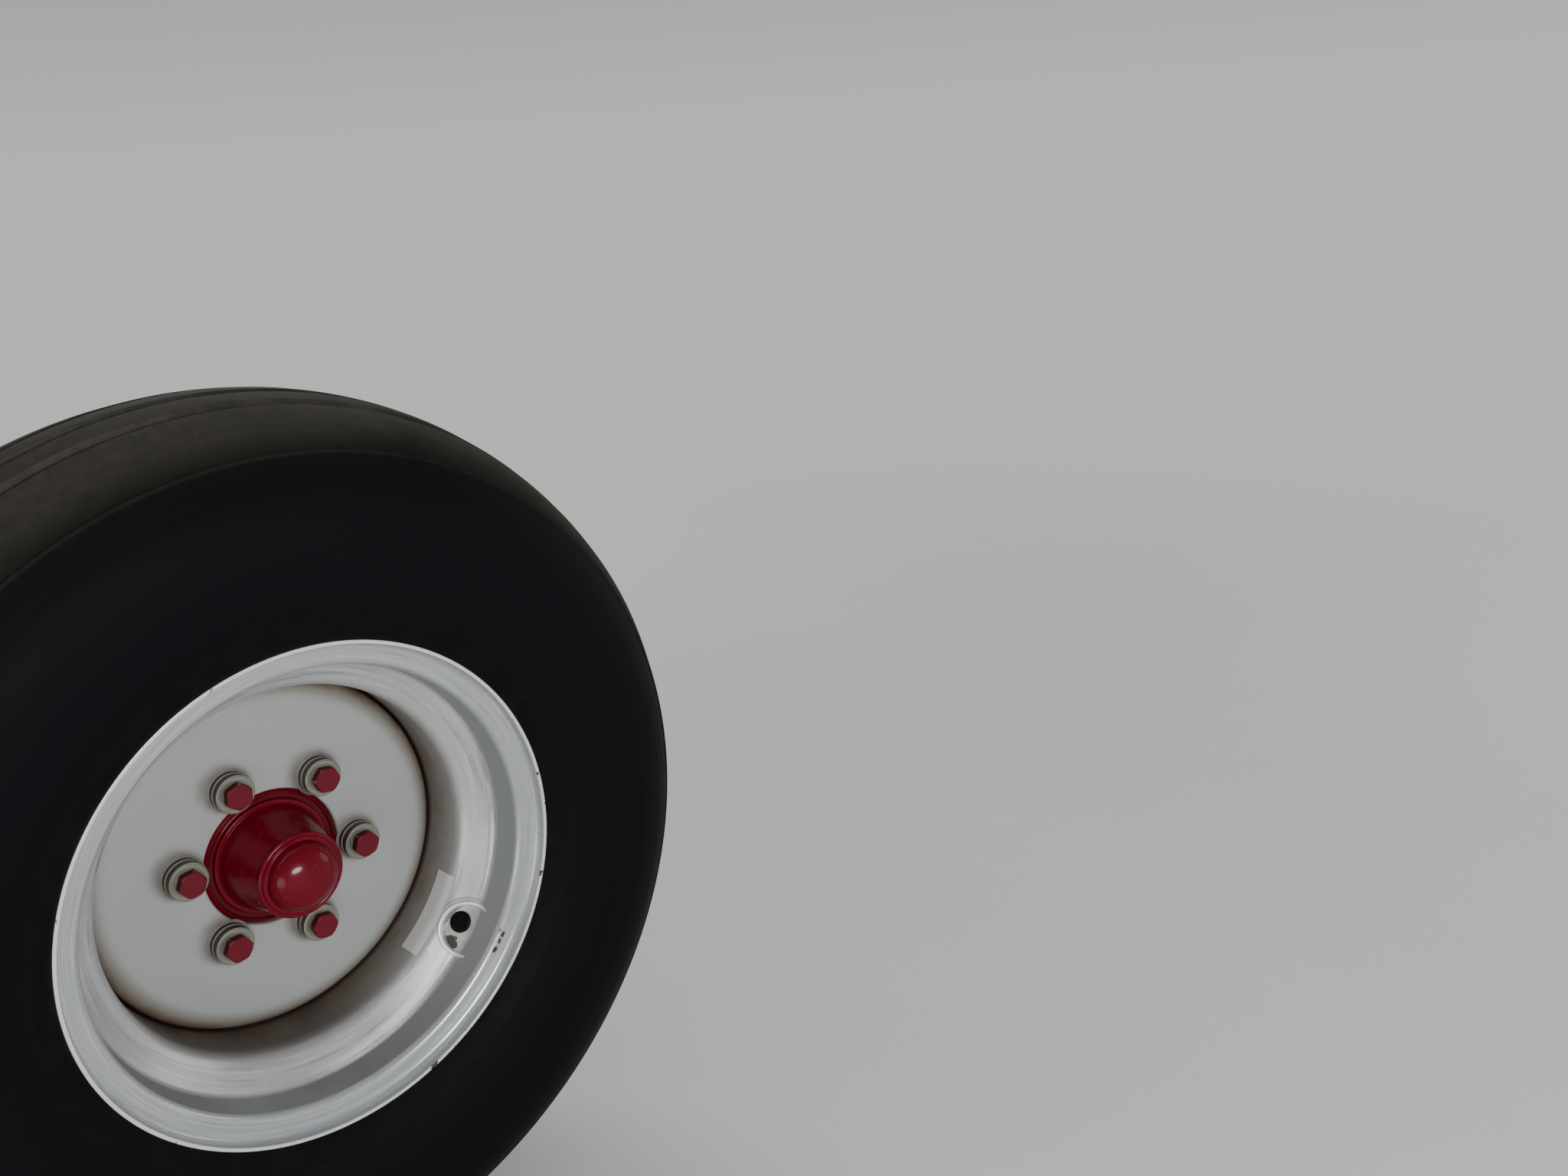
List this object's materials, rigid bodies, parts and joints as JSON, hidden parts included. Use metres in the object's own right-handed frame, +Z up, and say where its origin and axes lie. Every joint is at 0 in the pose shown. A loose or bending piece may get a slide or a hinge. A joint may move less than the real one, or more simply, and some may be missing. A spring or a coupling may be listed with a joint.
{
  "type": "implement ground wheel on a flanged spindle",
  "caption": "Free-turning farm machine ground wheel: rib tyre on a silver drop-centre rim, pressed disc, red bolted hub with cap, and the flanged spindle that carries it.",
  "frame": {"origin": "centre of the mounting face of the spindle's flange, on the axle's axis", "axes": "+Y along the axle from the hub cap to the spindle's flange, +Z up"},
  "size_m": [0.7869, 0.3139, 0.787],
  "materials": {
    "tyre_rubber": "black tyre rubber with dust near the shoulder",
    "rim_silver": "silver enamel, chipped at the flange",
    "disc_grey": "pale silver-grey enamel with rust at the seam",
    "hub_red": "gloss dark red enamel",
    "bolt_red": "matt dark red paint",
    "zinc": "dull zinc plate",
    "black_rubber": "black rubber",
    "spindle_steel": "turned steel bar with light rust"
  },
  "bodies": {
    "spindle_body": {"spindle": "spindle_steel", "spindle_flange": "hub_red", "flange_weld": "hub_red"},
    "wheel": {"tyre": "tyre_rubber", "rim": "rim_silver", "wheel_disc": "disc_grey", "disc_weld": "disc_grey", "hub": "hub_red", "hub_cap": "hub_red", "grease_seal": "black_rubber", "valve_plug": "black_rubber", "valve_stem": "black_rubber", "valve_cap": "black_rubber", "wheel_bolt_1": "bolt_red", "wheel_bolt_2": "bolt_red", "wheel_bolt_3": "bolt_red", "wheel_bolt_4": "bolt_red", "wheel_bolt_5": "bolt_red", "wheel_bolt_6": "bolt_red", "cone_washer_1": "zinc", "cone_washer_2": "zinc", "cone_washer_3": "zinc", "cone_washer_4": "zinc", "cone_washer_5": "zinc", "cone_washer_6": "zinc"}
  },
  "joints": [
    {"name": "wheel_spin", "type": "hinge", "parent": "spindle_body", "child": "wheel", "pos_m": [0, -0.1739, 0], "axis": [0, 1, 0], "continuous": true}
  ]
}
